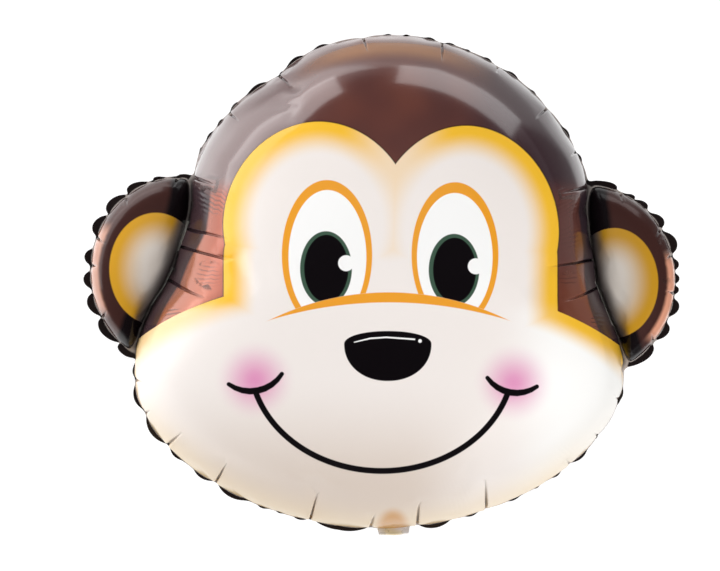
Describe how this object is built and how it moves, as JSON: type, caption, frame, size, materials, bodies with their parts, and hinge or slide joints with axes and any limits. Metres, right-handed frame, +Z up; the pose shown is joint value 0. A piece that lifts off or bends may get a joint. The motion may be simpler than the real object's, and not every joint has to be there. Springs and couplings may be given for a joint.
{
  "type": "foil monkey balloon",
  "caption": "Inflated foil party balloon shaped as a cartoon monkey's head with round ears, welded from a printed front sheet and a plain back sheet, with a flat filling neck under the chin.",
  "frame": {"origin": "bottom centre of the balloon's bounding box, on the floor that its back rests on", "axes": "+X the viewer's right across the ears, +Y the top of the head, +Z up out of the face; the balloon lies on its back, face up"},
  "size_m": [0.6182, 0.5254, 0.2873],
  "materials": {
    "printed_foil": "metallised film, printed with a cream monkey face on brown foil, glossy",
    "back_foil": "metallised film, plain dark brown foil, glossy",
    "neck_foil": "flattened metallised film tube, cream on the outside, silvery inside"
  },
  "bodies": {
    "root": {"front_panel": "printed_foil", "back_panel": "back_foil", "filling_neck": "neck_foil"}
  },
  "joints": []
}
